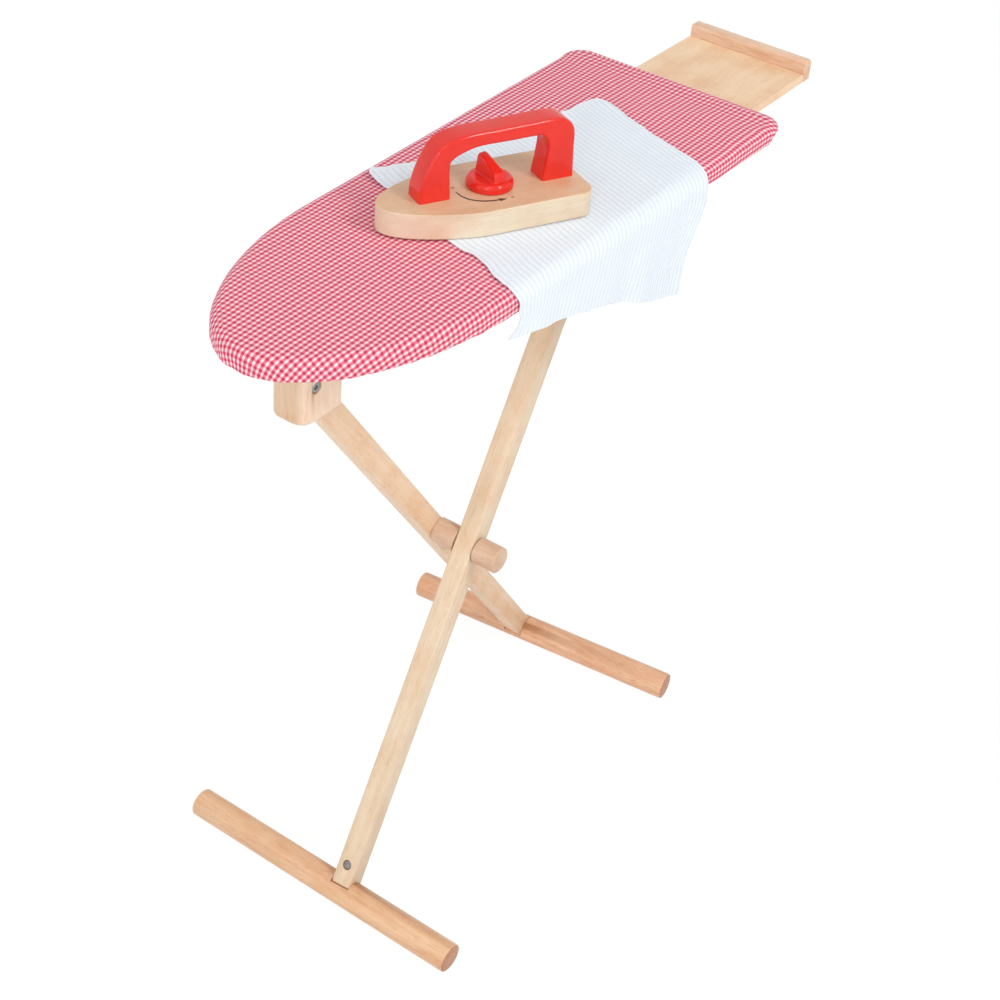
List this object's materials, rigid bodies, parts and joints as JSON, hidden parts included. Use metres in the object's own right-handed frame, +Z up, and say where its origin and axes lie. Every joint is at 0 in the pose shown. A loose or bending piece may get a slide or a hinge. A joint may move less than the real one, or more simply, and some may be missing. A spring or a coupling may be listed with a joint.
{
  "type": "toy ironing board",
  "caption": "Toy ironing board: padded gingham board on folding crossed wooden legs with dowel feet, iron tray, wooden toy iron with a red handle and dial, draped pressing cloth.",
  "frame": {"origin": "on the floor, under the middle of the whole object's bounding box", "axes": "+Z up, +Y from the board's nose to its iron tray, +X to the side on which the pressing cloth hangs"},
  "size_m": [0.2799, 0.622, 0.5939],
  "materials": {
    "red_gingham_cotton": "woven cotton, matt",
    "white_foam": "soft foam",
    "birch_plywood": "clear satin varnish",
    "beech_bar": "clear satin varnish",
    "pale_birch_leg": "clear satin varnish",
    "beech_dowel": "clear satin varnish",
    "beech_iron_body": "clear satin varnish",
    "red_handle_lacquer": "red gloss lacquer",
    "red_dial_lacquer": "red gloss lacquer",
    "zinc_plated_steel": "zinc plated",
    "striped_white_cotton": "woven cotton, matt"
  },
  "bodies": {
    "board": {"board_cover": "red_gingham_cotton", "foam_pad": "white_foam", "board_deck": "birch_plywood", "iron_tray": "birch_plywood", "tray_end_bar": "beech_bar", "tray_screw_1": "zinc_plated_steel", "tray_screw_2": "zinc_plated_steel", "tray_screw_3": "zinc_plated_steel", "tray_screw_4": "zinc_plated_steel", "nose_block": "beech_bar", "nose_block_screw_1": "zinc_plated_steel", "nose_block_screw_2": "zinc_plated_steel", "nose_pivot_bolt": "zinc_plated_steel", "nose_pivot_sleeve": "zinc_plated_steel", "leg_runner_left": "pale_birch_leg", "leg_runner_right": "pale_birch_leg", "leg_stop": "pale_birch_leg", "press_cloth": "striped_white_cotton"},
    "hinged_stand": {"hinged_leg": "pale_birch_leg", "tail_foot": "beech_dowel", "tail_foot_bolt": "zinc_plated_steel", "tail_barrel_nut": "zinc_plated_steel", "pivot_spacer": "beech_dowel", "pivot_cap": "beech_dowel", "pivot_insert": "zinc_plated_steel", "pivot_bolt": "zinc_plated_steel"},
    "sliding_stand": {"sliding_leg": "pale_birch_leg", "nose_foot": "beech_dowel", "nose_foot_bolt": "zinc_plated_steel", "nose_barrel_nut": "zinc_plated_steel"},
    "iron": {"iron_body": "beech_iron_body", "iron_handle": "red_handle_lacquer", "handle_screw_1": "zinc_plated_steel", "handle_screw_2": "zinc_plated_steel", "dial_spindle": "zinc_plated_steel"},
    "dial": {"iron_dial": "red_dial_lacquer"}
  },
  "joints": [
    {"name": "stand_hinge", "type": "hinge", "parent": "board", "child": "hinged_stand", "pos_m": [0, -0.25455, 0.4796], "axis": [1, 0, 0], "range_deg": [0, 48.8]},
    {"name": "cross_pivot", "type": "hinge", "parent": "hinged_stand", "child": "sliding_stand", "pos_m": [0, -0.0765, 0.2447], "axis": [1, 0, 0], "range_deg": [-98.1, 0]},
    {"name": "iron_lift", "type": "slide", "parent": "board", "child": "iron", "axis": [0, 0, 1], "range_m": [0, 0.15]},
    {"name": "dial_turn", "type": "hinge", "parent": "iron", "child": "dial", "pos_m": [0.0121, -0.07609, 0.549], "axis": [0, 0, 1], "continuous": true}
  ],
  "couplings": [
    {"joint": "cross_pivot", "follows": "stand_hinge", "ratio": -2.01}
  ]
}
